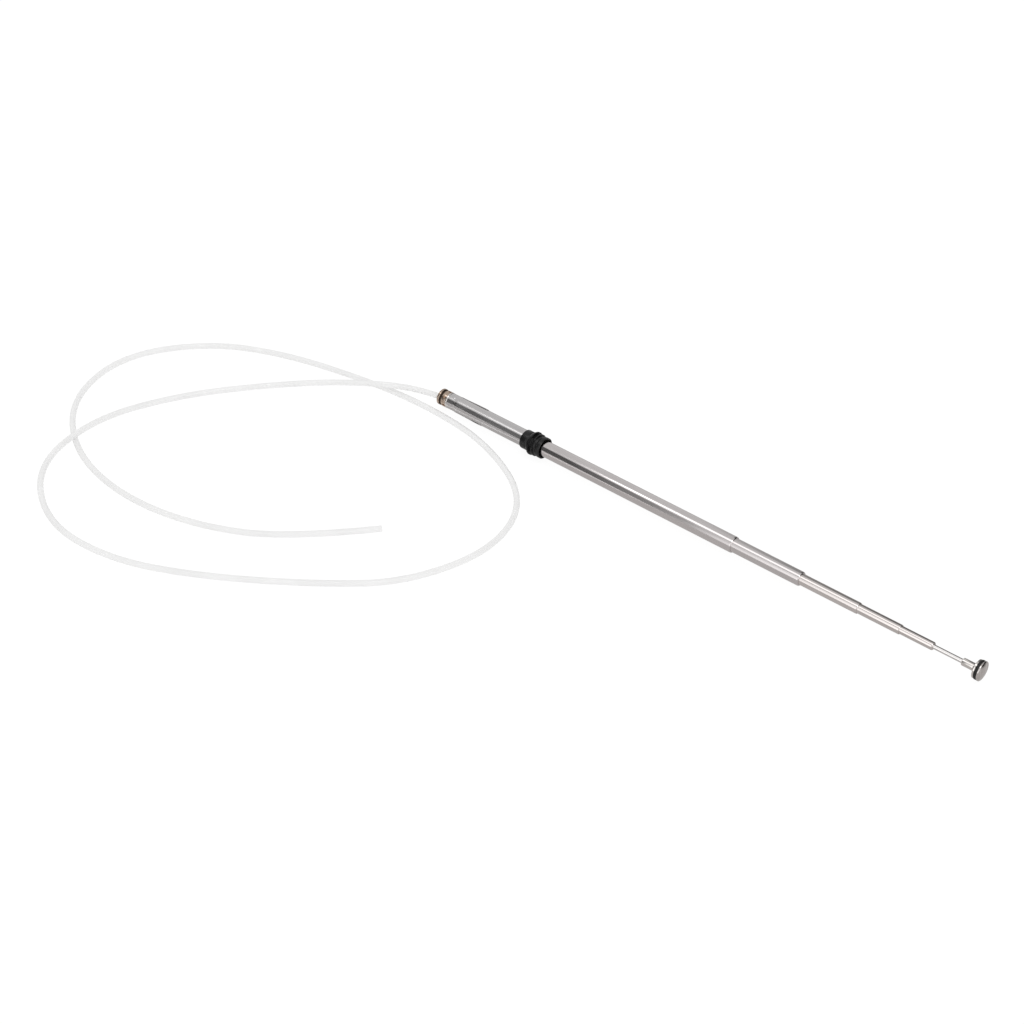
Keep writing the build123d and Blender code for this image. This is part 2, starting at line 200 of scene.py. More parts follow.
def edge_wear_group():
    """A mask of the outer edges, which rubbing polishes or bares, broken up by a fine noise."""
    tree, n = new_group("edge_wear")
    socket(tree, "Start", "NodeSocketFloat", 0.52)
    socket(tree, "Full", "NodeSocketFloat", 0.60)
    socket(tree, "Mask", "NodeSocketFloat", out=True)
    entry = n.add("NodeGroupInput")
    sharpness = n.add("ShaderNodeNewGeometry").outputs["Pointiness"]
    place = n.add("ShaderNodeTexCoord").outputs["Object"]
    grit = n.add("ShaderNodeTexNoise", place)
    grit.inputs["Scale"].default_value = 1800.0
    shaken = n.math("MULTIPLY_ADD", n.math("SUBTRACT", grit.outputs[0], 0.5), 0.04, sharpness)
    edge = n.add("ShaderNodeMapRange", shaken, entry.outputs["Start"], entry.outputs["Full"])
    n.add("NodeGroupOutput", edge.outputs[0])
    return tree


# ---------------------------------------------------------------- materials


class Finish:
    """A material with one shader, and the shared effects as it needs them."""

    def __init__(self, name):
        self.material = bpy.data.materials.new(name)
        self.material.use_nodes = True
        tree = self.material.node_tree
        tree.nodes.clear()
        self.n = Nodes(tree)
        self.shader = self.n.add("ShaderNodeBsdfPrincipled")
        self.n.add("ShaderNodeOutputMaterial", self.shader.outputs[0])

    def group(self, tree, **values):
        """Place a shared effect, with its named inputs (an underscore stands for a space)."""
        node = self.n.add("ShaderNodeGroup")
        node.node_tree = tree
        for key, value in values.items():
            node.inputs[key.replace("_", " ")].default_value = value
        return node

    def set(self, name, value):
        if isinstance(value, bpy.types.NodeSocket):
            self.material.node_tree.links.new(value, self.shader.inputs[name])
        else:
            self.shader.inputs[name].default_value = value

    def bump(self, height, strength, distance):
        node = self.n.add("ShaderNodeBump")
        node.inputs["Strength"].default_value = strength
        node.inputs["Distance"].default_value = distance
        self.material.node_tree.links.new(height, node.inputs["Height"])
        self.set("Normal", node.outputs[0])


def rgb(red, green, blue):
    return (red, green, blue, 1)


def metal(name, dark, light, roughness, spread=0.1, contrast=1.0, stretch=LENGTHWISE, bump=0.02,
          painted_shade=None, recess=None):
    """A metal with drawn lines, and painted shade: a dark colour that darkens it in the recess (radius,
    from, to).
    """
    finish = Finish(name)
    lines = finish.group(drawn_lines, Stretch=stretch, Contrast=contrast, Base_Roughness=roughness,
                         Roughness_Spread=spread, Dark=rgb(*dark), Light=rgb(*light))
    color = lines.outputs["Color"]
    rough = lines.outputs["Roughness"]
    if painted_shade:
        # painted shade: the recess is darkened to the given colour and made rougher
        shade_mask = finish.group(painted_recess_shade, Radius=recess[0], Blend=0.12 * MM, From=recess[1], To=recess[2],
                            Patchiness=0.15).outputs[0]
        color = finish.n.mix(shade_mask, color, rgb(*painted_shade))
        rough = finish.n.math("MULTIPLY_ADD", shade_mask, 0.25, rough, clamp=True)
    finish.set("Metallic", 1.0)
    finish.set("Base Color", color)
    finish.set("Roughness", rough)
    finish.bump(lines.outputs["Height"], bump, 0.05 * MM)
    return finish.material


def moulded(name, dark, light, roughness, scale, bump, worn=None):
    """A plastic or rubber: a slight mottle, a fine moulded grain, and edges rubbed to another colour."""
    finish = Finish(name)
    place = finish.n.add("ShaderNodeTexCoord").outputs["Object"]
    grain = finish.n.add("ShaderNodeTexNoise", place)
    grain.inputs["Scale"].default_value = scale
    grain.inputs["Detail"].default_value = 4.0
    color = finish.n.mix(finish.n.rise(grain.outputs[0], 0.3, 0.7), rgb(*dark), rgb(*light))
    rough = finish.n.math("MULTIPLY_ADD", grain.outputs[0], 0.12, roughness)
    if worn:
        wear = finish.group(edge_wear, Start=0.53, Full=0.63).outputs[0]
        color = finish.n.mix(wear, color, rgb(*worn))
    finish.set("Base Color", color)
    finish.set("Roughness", rough)
    finish.bump(grain.outputs[0], bump, 0.04 * MM)
    return finish


def natural_nylon():
    """White nylon: light passes a little way into it, and its tone clouds slowly along it."""
    finish = moulded("natural_nylon", (0.85, 0.848, 0.846), (0.885, 0.883, 0.881), 0.34, 70, 0.01)
    finish.set("Subsurface Weight", 0.10)
    finish.set("Subsurface Radius", (1.0, 1.0, 1.0))
    finish.set("Subsurface Scale", 0.6 * MM)
    finish.set("IOR", 1.53)
    return finish.material


drawn_lines = drawn_lines_group()
painted_recess_shade = painted_recess_shade_group()
edge_wear = edge_wear_group()

TUBE_TONES = (0.80, 0.757, 0.755), (0.89, 0.845, 0.84)
SLIM_TUBE_TONES = (0.84, 0.785, 0.76), (0.93, 0.87, 0.85)
SLEEVE_TONES = (0.72, 0.70, 0.70), (0.83, 0.81, 0.81)
ROD_TONES = (0.90, 0.875, 0.86), (0.96, 0.93, 0.92)
BRIGHT_TONES = (0.88, 0.84, 0.81), (0.96, 0.92, 0.885)
CAP_TONES = (0.70, 0.655, 0.63), (0.99, 0.96, 0.94)
COPPER_TONES = (0.50, 0.37, 0.28), (0.80, 0.66, 0.55)
UNDER_SLEEVE = (1.0, 0.0, ends("contact_sleeve")[1] - 0.3 * MM)  # all of tube_1 that the sleeve covers, which gets painted shade
# the cone's hollow round the ferrule's end, which gets a painted contact shadow
CONE_HOLLOW = (reach("tip_ferrule", *ends("tip_ferrule")) + 0.5 * MM, *ends("tip_base"))
RING_X = ends("contact_ring")[0]
RIM_R = reach("contact_ring", RING_X, RING_X + 1 * MM)
# the ring's groove, which gets painted shade
RING_GROOVE = (RIM_R - 0.08 * MM, RING_X + 0.3 * MM, RING_X + 2.9 * MM)
tube_metal = metal("tube_metal", *TUBE_TONES, 0.12)
# tube_1 gets painted shade, a dark grey, where the sleeve covers it
tube_1_metal = metal("tube_1_metal", *TUBE_TONES, 0.12, painted_shade=(0.16, 0.15, 0.145), recess=UNDER_SLEEVE)
slim_tube_metal = metal("slim_tube_metal", *SLIM_TUBE_TONES, 0.11)
sleeve_metal = metal("sleeve_metal", *SLEEVE_TONES, 0.15, contrast=0.9)
rod_metal = metal("rod_metal", *ROD_TONES, 0.07, spread=0.05)
bright_metal = metal("bright_metal", *BRIGHT_TONES, 0.06, spread=0.06, contrast=0.7, stretch=ROUNDABOUT)
# cone_metal: a painted contact shadow, near black, in the hollow round the ferrule
cone_metal = metal("cone_metal", *BRIGHT_TONES, 0.08, spread=0.06, contrast=0.7, stretch=ROUNDABOUT,
                   painted_shade=(0.03, 0.022, 0.018), recess=CONE_HOLLOW)
cap_metal = metal("cap_metal", *CAP_TONES, 0.16, spread=0.12, contrast=2.2, stretch=(300, 1600, 260),
                  bump=0.06)
bronze_metal = metal("bronze_metal", (0.52, 0.34, 0.16), (0.66, 0.46, 0.24), 0.30)
# copper_metal: painted shade, dark brown, in the ring's groove
copper_metal = metal("copper_metal", *COPPER_TONES, 0.20, spread=0.2, contrast=1.6, stretch=(900, 260, 260),
                     painted_shade=(0.028, 0.015, 0.008), recess=RING_GROOVE)
black_plastic = moulded("black_plastic", (0.0015, 0.0015, 0.0016), (0.004, 0.004, 0.0042), 0.22, 900, 0.12,
                        worn=(0.03, 0.03, 0.031)).material
black_rubber = moulded("black_rubber", (0.003, 0.003, 0.003), (0.008, 0.0077, 0.0075), 0.40, 1500,
                       0.2).material
nylon = natural_nylon()

# ---------------------------------------------------------------- mesh helpers


def rounded(corners, steps=5):
    """A closed outline of (x, radius) points, from corners that each have a rounding, with an arc there."""
    outline = []
    count = len(corners)
    for i, (x, r, size) in enumerate(corners):
        here = Vector((x, r))
        if size <= 0:
            outline.append(here)
            continue
        back = (Vector(corners[i - 1][:2]) - here).normalized()
        ahead = (Vector(corners[(i + 1) % count][:2]) - here).normalized()
        half = back.angle(ahead) / 2
        cut = size * cos(half) / sin(half)
        start, stop = here + back * cut, here + ahead * cut
        middle = here + (back + ahead).normalized() * (size / sin(half))
        first, last = start - middle, stop - middle
        sweep = first.angle(last)
        for k in range(steps + 1):
            t = k / steps
            outline.append(middle + (first * sin((1 - t) * sweep) + last * sin(t * sweep)) / sin(sweep))
    return outline


def turned_tree():
    """Turn a closed outline of (x, 0, radius) points about the mast's axis."""
    tree, n = new_group("turned_outline", "GeometryNodeTree")
    socket(tree, "Geometry", "NodeSocketGeometry")
    socket(tree, "Steps", "NodeSocketInt", STEPS)
    socket(tree, "Material", "NodeSocketMaterial")
    socket(tree, "Geometry", "NodeSocketGeometry", out=True)
    entry = n.add("NodeGroupInput")
    outline, steps = entry.outputs["Geometry"], entry.outputs["Steps"]
    corners = n.add("GeometryNodeAttributeDomainSize", outline).outputs["Point Count"]
    rows = n.math("ADD", steps, 1)
    grid = n.add("GeometryNodeMeshGrid", 1.0, 1.0, n.math("ADD", corners, 1), rows)
    index = n.add("GeometryNodeInputIndex").outputs[0]
    row = n.math("MODULO", n.math("FLOOR", n.math("DIVIDE", n.math("ADD", index, 0.5), rows)), corners)
    share = n.math("DIVIDE", n.math("FLOORED_MODULO", index, rows), steps)
    angle = n.math("MULTIPLY", n.math("FLOORED_MODULO", share, 1.0), 2 * pi)
    here = n.add("GeometryNodeInputPosition").outputs[0]
    corner = n.add("GeometryNodeSampleIndex", data_type="FLOAT_VECTOR", domain="POINT")
    n.put(corner, 0, outline)
    n.put(corner, 1, here)
    n.put(corner, 2, row)
    split = n.add("ShaderNodeSeparateXYZ", corner.outputs[0])
    sideways = n.math("MULTIPLY", split.outputs["Z"], n.math("COSINE", angle))
    upwards = n.math("MULTIPLY", split.outputs["Z"], n.math("SINE", angle))
    place = n.add("ShaderNodeCombineXYZ", split.outputs["X"], sideways, upwards)
    spun = n.add("GeometryNodeSetPosition", grid.outputs["Mesh"], None, place.outputs[0])
    closed = n.add("GeometryNodeMergeByDistance", spun.outputs[0])
    closed.inputs["Distance"].default_value = 1e-7
    real = n.add("GeometryNodeRealizeInstances", closed.outputs[0])
    dressed = n.add("GeometryNodeSetMaterial", real.outputs[0])
    tree.links.new(entry.outputs["Material"], dressed.inputs["Material"])
    n.add("NodeGroupOutput", dressed.outputs[0])
    return tree


def from_tree(name, line, tree, values):
    """A plain mesh from a Geometry Nodes tree, run on a mesh of points and edges with the named inputs."""
    holder = bpy.data.objects.new(name + "_nodes", line)
    scene.collection.objects.link(holder)
    modifier = holder.modifiers.new("nodes", "NODES")
    modifier.node_group = tree
    for item in tree.interface.items_tree:
        if item.in_out == "INPUT" and item.name in values:
            modifier[item.identifier] = values[item.name]
    bpy.context.view_layer.update()
    mesh = bpy.data.meshes.new_from_object(holder.evaluated_get(bpy.context.evaluated_depsgraph_get()))
    holder.modifiers.remove(modifier)
    bpy.data.objects.remove(holder)
    mesh.name = name
    for attribute in [a for a in mesh.attributes if a.name in ("ring", "middle", "along")]:
        mesh.attributes.remove(attribute)
    return mesh


def piece_of(mesh, name, body, replaced, sharp=32):
    """A finished piece: faces outwards, smooth but for its sharp edges, riding on its body."""
    shape = bmesh.new()
    shape.from_mesh(mesh)
    bmesh.ops.remove_doubles(shape, verts=shape.verts, dist=1e-8)
    bmesh.ops.recalc_face_normals(shape, faces=shape.faces)
    shape.to_mesh(mesh)
    shape.free()
    mesh.polygons.foreach_set("use_smooth", [True] * len(mesh.polygons))
    mesh.set_sharp_from_angle(angle=radians(sharp))
    piece = bpy.data.objects.new(name, mesh)
    scene.collection.objects.link(piece)
    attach(piece, body)
    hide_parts(*replaced)
    return piece


def turned_mesh(name, outline, material, steps=STEPS):
    line = bpy.data.meshes.new(name + "_outline")
    count = len(outline)
    line.from_pydata([(x, 0, r) for x, r in outline], [(i, (i + 1) % count) for i in range(count)], [])
    return from_tree(name, line, turned, {"Steps": steps, "Material": material})


turned = turned_tree()

# ---------------------------------------------------------------- camera, floor and light

CAMERA_PLACE = Vector((0.6156, -0.6511, 0.6194))
CAMERA_AIM = Vector((0.0896, -0.0489, 0.00016))
CAMERA_LENS = 75.6

camera_data = bpy.data.cameras.new("camera")
camera_data.sensor_width = 36.0
camera_data.lens = CAMERA_LENS
camera_data.clip_start = 0.01
camera = bpy.data.objects.new("camera", camera_data)
scene.collection.objects.link(camera)
camera.location = CAMERA_PLACE
camera.rotation_euler = (CAMERA_AIM - CAMERA_PLACE).to_track_quat("-Z", "Y").to_euler()
scene.camera = camera

scene.view_settings.view_transform = "Standard"
scene.view_settings.look = "None"


def stage_floor():
    """A pale floor that looks white, and that polished metal sees as a soft grey, dark beyond the tip."""
    mesh = bpy.data.meshes.new("floor")
    half = 4.0
    corners = [(x * half, y * half, FLOOR_Z) for x, y in ((-1, -1), (1, -1), (1, 1), (-1, 1))]
    mesh.from_pydata(corners, [], [(0, 1, 2, 3)])
    floor = bpy.data.objects.new("floor", mesh)
    scene.collection.objects.link(floor)
    material = bpy.data.materials.new("pale_floor")
    material.use_nodes = True
    tree = material.node_tree
    tree.nodes.clear()
    n = Nodes(tree)
    paint = n.add("ShaderNodeBsdfDiffuse", rgb(0.12, 0.12, 0.12)).outputs[0]
    glow = n.add("ShaderNodeEmission", rgb(1, 1, 1), 0.92).outputs[0]
    seen = n.add("ShaderNodeAddShader", glow, paint).outputs[0]
    place = n.add("ShaderNodeSeparateXYZ", n.add("ShaderNodeTexCoord").outputs["Object"])
    beyond_tip = n.rise(place.outputs[0], 0.324, 0.342)
    behind_mast = n.rise(place.outputs[1], 0.008, 0.022)
    strength = n.math("MULTIPLY_ADD", n.math("MULTIPLY", beyond_tip, behind_mast), -0.44, 0.45)
    mirrored = n.add("ShaderNodeEmission", rgb(1.0, 0.975, 0.965), strength).outputs[0]
    glossy = n.add("ShaderNodeLightPath").outputs["Is Glossy Ray"]
    n.add("ShaderNodeOutputMaterial", n.add("ShaderNodeMixShader", glossy, seen, mirrored).outputs[0])
    mesh.materials.append(material)


def studio_world():
    """A white room. Polished metal sees it greyer, with a softbox overhead and dark screens at the sides.

    Its x, y and z are those of a direction. From the camera, the sleeve mirrors what lies at an x of about
    -0.55, and the tip end of the mast what lies at about -0.33.
    """
    world = bpy.data.worlds.new("studio")
    scene.world = world
    world.use_nodes = True
    tree = world.node_tree
    tree.nodes.clear()
    n = Nodes(tree)
    split = n.add("ShaderNodeSeparateXYZ", n.add("ShaderNodeTexCoord").outputs["Generated"])
    x, y, z = (split.outputs[i] for i in range(3))

    def times(first, *others):
        for other in others:
            first = n.math("MULTIPLY", first, other)
        return first

    def toward(current, target, mask):
        """Blend the light so far towards another strength where the mask is 1."""
        node = n.add("ShaderNodeMix", data_type="FLOAT")
        n.put(node, 0, mask)
        n.put(node, 2, current)
        n.put(node, 3, target)
        return node.outputs[0]

    def slope(value, start, stop, first, last):
        """A value that runs straight from first at start to last at stop."""
        return n.add("ShaderNodeMapRange", value, start, stop, first, last).outputs[0]

    # the room, with a brighter wall to the right in front
    light = toward(0.56, 1.05, times(n.rise(x, 0.30, 0.60), n.rise(y, 0.10, -0.20)))

    # a dark screen in front, which lightens towards the tip end, sooner in its lower part
    shade = n.math("ADD", slope(x, -0.545, -0.52, 0.07, 0.21), slope(x, -0.50, -0.46, 0.0, 0.04))
    shade = n.math("ADD", shade, slope(x, -0.365, -0.335, 0.0, 0.40))
    lower = n.math("ADD", shade, slope(x, -0.45, -0.405, 0.0, 0.62))
    upper = n.math("ADD", shade, slope(x, -0.45, -0.40, 0.0, 0.45))
    front_sides = times(n.rise(y, -0.28, -0.42), n.rise(x, 0.10, -0.10))
    front = times(front_sides, n.rise(z, -0.06, 0.03), n.rise(z, 0.72, 0.62))
    light = toward(light, lower, front)
    light = toward(light, upper, times(front, n.rise(z, 0.38, 0.48)))

    # screens behind: a low one that darkens towards the tip end, a tall one there, and one to the right
    back = times(n.rise(y, 0.45, 0.62), n.rise(z, 0.60, 0.40), n.rise(x, 0.30, 0.10))
    light = toward(light, slope(x, -0.44, -0.345, 0.58, 0.05), back)
    tall_sides = times(n.rise(x, -0.41, -0.36), n.rise(y, 0.22, 0.42))
    tall = times(tall_sides, n.rise(z, 0.88, 0.72), n.rise(x, 0.30, 0.10))
    light = toward(light, slope(x, -0.40, -0.35, 0.35, 0.12), tall)
    right = times(n.rise(x, 0.10, 0.30), n.rise(y, 0.10, 0.30), n.rise(z, 0.76, 0.66))
    light = toward(light, 0.01, right)

    # the softbox, and the bright strip in it
    box = times(n.rise(y, 0.0, -0.09), n.rise(y, -0.47, -0.38), n.rise(z, 0.64, 0.74))
    light = toward(light, slope(x, -0.54, -0.51, 0.55, 1.25), box)
    strip_sides = times(n.rise(y, -0.17, -0.20), n.rise(y, -0.31, -0.28))
    strip = times(strip_sides, n.rise(z, 0.72, 0.76), n.rise(x, -0.535, -0.51))
    strip_light = n.math("ADD", slope(x, -0.47, -0.43, 3.0, 1.3), slope(x, -0.20, -0.05, 0.0, 3.0))
    light = toward(light, strip_light, strip)
    strength = toward(1.0, light, n.add("ShaderNodeLightPath").outputs["Is Glossy Ray"])
    n.add("ShaderNodeOutputWorld", n.add("ShaderNodeBackground", rgb(1, 1, 1), strength).outputs[0])


stage_floor()
studio_world()

# ---------------------------------------------------------------- drive cable

IN_LINE = 0.0  # heights in mm: on the mast's axis, on the floor, and over another stretch of the cable
FLAT = FLOOR_Z / MM + 1.5
OVER = FLAT + 4.0
CABLE_ROUTE = [
    (12, 0, IN_LINE),
    (-10, 0, IN_LINE),
    (-46, -21, OVER),
    (-80, -48, FLAT),
    (-106, -83, FLAT),
    (-118, -128, OVER),
    (-109, -172, OVER),
    (-74, -195, FLAT),
    (-30, -193, FLAT),
    (10, -174, FLAT),
    (54, -143, FLAT),
    (84, -115, FLAT),
    (98, -71, FLAT),
    (84, -33, FLAT),
    (42, -11.5, FLAT),
    (-1, -6.5, FLAT),
    (-43, -10, FLAT),
    (-94, -21, FLAT),
    (-132, -41, FLAT),
    (-156, -79, FLAT),
    (-145, -121, FLAT),
    (-109, -149, FLAT),
    (-64, -158, FLAT),
    (-19, -150, FLAT),
    (20, -128, FLAT),
    (48, -94, FLAT),
]
TOOTH_PITCH = 2.4 * MM
GROOVE_DEPTH = 0.32 * MM
RINGS_PER_TOOTH = 4
CABLE_SIDES = 20


def cable_path():
    """The points along the route's own smooth line."""
    curve = bpy.data.curves.new("cable_route", "CURVE")
    curve.dimensions = "3D"
    spline = curve.splines.new("NURBS")
    spline.points.add(len(CABLE_ROUTE) - 1)
    for point, (x, y, z) in zip(spline.points, CABLE_ROUTE):
        point.co = (x * MM, y * MM, z * MM, 1)
    spline.order_u = 3
    spline.use_endpoint_u = True
    spline.resolution_u = 24
    guide = bpy.data.objects.new("cable_route", curve)
    scene.collection.objects.link(guide)
    bpy.context.view_layer.update()
    line = bpy.data.meshes.new_from_object(guide.evaluated_get(bpy.context.evaluated_depsgraph_get()))
    points = [tuple(v.co) for v in line.vertices]
    bpy.data.objects.remove(guide)
    return points


def rack_tree():
    """A round rod along a line, with grooves across one side that leave a row of rack teeth."""
    tree, n = new_group("toothed_rod", "GeometryNodeTree")
    socket(tree, "Geometry", "NodeSocketGeometry")
    socket(tree, "Radius", "NodeSocketFloat", CABLE_D / 2)
    socket(tree, "Groove Depth", "NodeSocketFloat", GROOVE_DEPTH)
    socket(tree, "Rings", "NodeSocketInt", 600)
    socket(tree, "Rings per Tooth", "NodeSocketInt", RINGS_PER_TOOTH)
    socket(tree, "Sides", "NodeSocketInt", CABLE_SIDES)
    socket(tree, "Material", "NodeSocketMaterial")
    socket(tree, "Geometry", "NodeSocketGeometry", out=True)
    entry = n.add("NodeGroupInput")

    def given(name):
        return entry.outputs[name]

    curve = n.add("GeometryNodeMeshToCurve", given("Geometry")).outputs[0]
    resample = n.add("GeometryNodeResampleCurve")
    tree.links.new(curve, resample.inputs["Curve"])
    tree.links.new(given("Rings"), resample.inputs["Count"])
    line = n.add("GeometryNodeSetCurveNormal", resample.outputs[0], mode="Z_UP").outputs[0]

    def keep(geometry, item, kind, value):
        """Keep a value of each point of the line on the rod that is made along it."""
        node = n.add("GeometryNodeCaptureAttribute", domain="POINT")
        node.capture_items.new(kind, item)
        n.put(node, 0, geometry)
        n.put(node, 1, value)
        return node.outputs[0], node.outputs[1]

    line, ring = keep(line, "ring", "INT", n.add("GeometryNodeInputIndex").outputs[0])
    line, middle = keep(line, "middle", "VECTOR", n.add("GeometryNodeInputPosition").outputs[0])
    line, along = keep(line, "along", "VECTOR", n.add("GeometryNodeInputTangent").outputs[0])
    circle = n.add("GeometryNodeCurvePrimitiveCircle")
    tree.links.new(given("Sides"), circle.inputs["Resolution"])
    tree.links.new(given("Radius"), circle.inputs["Radius"])
    rod = n.add("GeometryNodeCurveToMesh")
    tree.links.new(line, rod.inputs["Curve"])
    tree.links.new(circle.outputs[0], rod.inputs["Profile Curve"])
    rod.inputs["Fill Caps"].default_value = True

    side = n.vector("NORMALIZE", n.vector("CROSS_PRODUCT", (0, 0, 1), along).outputs[0]).outputs[0]
    out = n.vector("SUBTRACT", n.add("GeometryNodeInputPosition").outputs[0], middle).outputs[0]
    height = n.vector("DOT_PRODUCT", out, side).outputs["Value"]
    root = n.math("SUBTRACT", given("Radius"), given("Groove Depth"))
    proud = n.math("MAXIMUM", n.math("SUBTRACT", height, root), 0.0)
    step = n.math("MODULO", ring, given("Rings per Tooth"))
    half = n.math("DIVIDE", given("Rings per Tooth"), 2.0)
    in_groove = n.math("GREATER_THAN", step, n.math("SUBTRACT", half, 0.5))
    cut = n.math("MULTIPLY", n.math("MULTIPLY", proud, in_groove), -1.0)
    shift = n.vector("SCALE", side)
    tree.links.new(cut, shift.inputs["Scale"])
    moved = n.add("GeometryNodeSetPosition")
    tree.links.new(rod.outputs[0], moved.inputs["Geometry"])
    tree.links.new(shift.outputs[0], moved.inputs["Offset"])
    real = n.add("GeometryNodeRealizeInstances", moved.outputs[0])
    dressed = n.add("GeometryNodeSetMaterial", real.outputs[0])
    tree.links.new(given("Material"), dressed.inputs["Material"])
    n.add("NodeGroupOutput", dressed.outputs[0])
    return tree


def make_cable():
    path = cable_path()
    line = bpy.data.meshes.new("cable_line")
    line.from_pydata(path, [(i, i + 1) for i in range(len(path) - 1)], [])
    length = sum((Vector(b) - Vector(a)).length for a, b in zip(path, path[1:]))
    teeth = round(length / TOOTH_PITCH)
    mesh = from_tree("toothed_cable", line, rack_tree(), {
        "Radius": CABLE_D / 2,
        "Groove Depth": GROOVE_DEPTH,
        "Rings": teeth * RINGS_PER_TOOTH + 1,
        "Rings per Tooth": RINGS_PER_TOOTH,
        "Sides": CABLE_SIDES,
        "Material": nylon,
    })
    cable = piece_of(mesh, "toothed_cable", "mast_base", ["drive_cable"], sharp=50)


make_cable()

# ---------------------------------------------------------------- tubes

TUBE_BODIES = {1: "mast_base", 2: "section_2", 3: "section_3", 4: "section_4", 5: "section_5"}
TUBE_METALS = {1: tube_1_metal, 2: tube_metal, 3: slim_tube_metal, 4: slim_tube_metal, 5: slim_tube_metal}
LIP = 1.0 * MM
ROLL_LENGTH = 0.75 * MM
ROLL_DEPTH = 0.42 * MM
FLARE = 1.0 * MM


def rolled_edge(x, r, long, deep, steps=8):
    """Outline points of an edge rolled in over a length, by a depth."""
    turns = [pi / 2 * k / steps for k in range(steps + 1)]
    return [(x - long * (1 - sin(a)), r - deep * (1 - cos(a)), 0) for a in turns]


def make_tube(number, body):
    """A drawn tube with its front edge rolled in, and all but the first with a flared lower end."""
    node = f"tube_{number}"
    start, stop = ends(node)
    outer = reach(node, stop - LIP - SLACK, stop)
    lip = inner(node, stop - SLACK, stop)
    bore = inner(node, start - SLACK, start + SLACK)
    flare = reach(node, start - SLACK, start + SLACK)
    roll = rolled_edge(stop, outer, ROLL_LENGTH, min(ROLL_DEPTH, (outer - lip) * 0.8))
    rear = [(start, outer, 0.08 * MM)]
    if number > 1:
        flare_end = start + FLARE
        shoulder = start + FLARE * 1.25
        rear = [(start, flare, 0.08 * MM), (flare_end, flare, 0.04 * MM), (shoulder, outer, 0.1 * MM)]
    front = [*roll, (stop, lip, 0.06 * MM), (stop - LIP, lip, 0.06 * MM)]
    outline = rounded([(start, bore, 0), *rear, *front, (stop - LIP - 0.1 * MM, bore, 0.04 * MM)])
    mesh = turned_mesh(f"mast_{node}", outline, TUBE_METALS[number])
    piece_of(mesh, f"mast_{node}", body, [node])


for number, body_name in TUBE_BODIES.items():
    make_tube(number, body_name)

# ---------------------------------------------------------------- base: ring, washer and contact sleeve

ANGLES = 168  # round the contact sleeve


def angled_sheet(name, columns, radius_at, stations, keep_face, thickness, material):
    """A closed shell over stations along the mast and angles round it, with some faces left open."""
    shape = bmesh.new()
    grid = []
    for x in stations:
        radii = [radius_at(x, a) for a in columns]
        grid.append([shape.verts.new((x, r * cos(a), r * sin(a))) for r, a in zip(radii, columns)])
    count = len(columns)
    for i in range(len(stations) - 1):
        near, far = grid[i], grid[i + 1]
        for k in range(count):
            after = (k + 1) % count
            across = (columns[k] + (columns[after] - columns[k]) % (2 * pi) / 2) % (2 * pi)
            if keep_face((stations[i] + stations[i + 1]) / 2, across):
                shape.faces.new([near[k], near[after], far[after], far[k]])
    bmesh.ops.delete(shape, geom=[v for v in shape.verts if not v.link_faces], context="VERTS")
    bmesh.ops.recalc_face_normals(shape, faces=shape.faces)
    outward = 0.0
    for face in shape.faces:
        middle = face.calc_center_median()
        outward += face.normal.y * middle.y + face.normal.z * middle.z
    if outward < 0:
        bmesh.ops.reverse_faces(shape, faces=shape.faces)
    mesh = bpy.data.meshes.new(name)
    shape.to_mesh(mesh)
    shape.free()
    mesh.materials.append(material)
    holder = bpy.data.objects.new(name + "_sheet", mesh)
    scene.collection.objects.link(holder)
    wall = holder.modifiers.new("wall", "SOLIDIFY")
    wall.thickness = thickness
    wall.offset = -1
    bpy.context.view_layer.update()
    solid = bpy.data.meshes.new_from_object(holder.evaluated_get(bpy.context.evaluated_depsgraph_get()))
    bpy.data.objects.remove(holder)
    return solid


SLEEVE_WALL = 0.25 * MM
LEAF_CENTRES = [radians(228), radians(48)]
LEAF_HALF = radians(20)
SLOT = radians(3.5)
LEAF_ROOT_GAP = 0.7 * MM
LEAF_LENGTH = 17.0 * MM
LEAF_PEAK = 1.6 * MM
LEAF_END_GAP = 0.5 * MM
LEAF_LIFT = 0.25 * MM
NECK_DROP = 0.15 * MM
NECK_STEP = 0.35 * MM
NECK_GAP = 0.5 * MM
DIMPLE_X = 10.1 * MM
DIMPLE_ANGLES = [radians(21 + 90 * k) for k in range(4)]
DIMPLE_RADIUS = 0.55 * MM
DIMPLE_DEPTH = 0.14 * MM


def turn_between(a, b):
    """The angle from b to a, between minus and plus half a turn."""
    return (a - b + pi) % (2 * pi) - pi


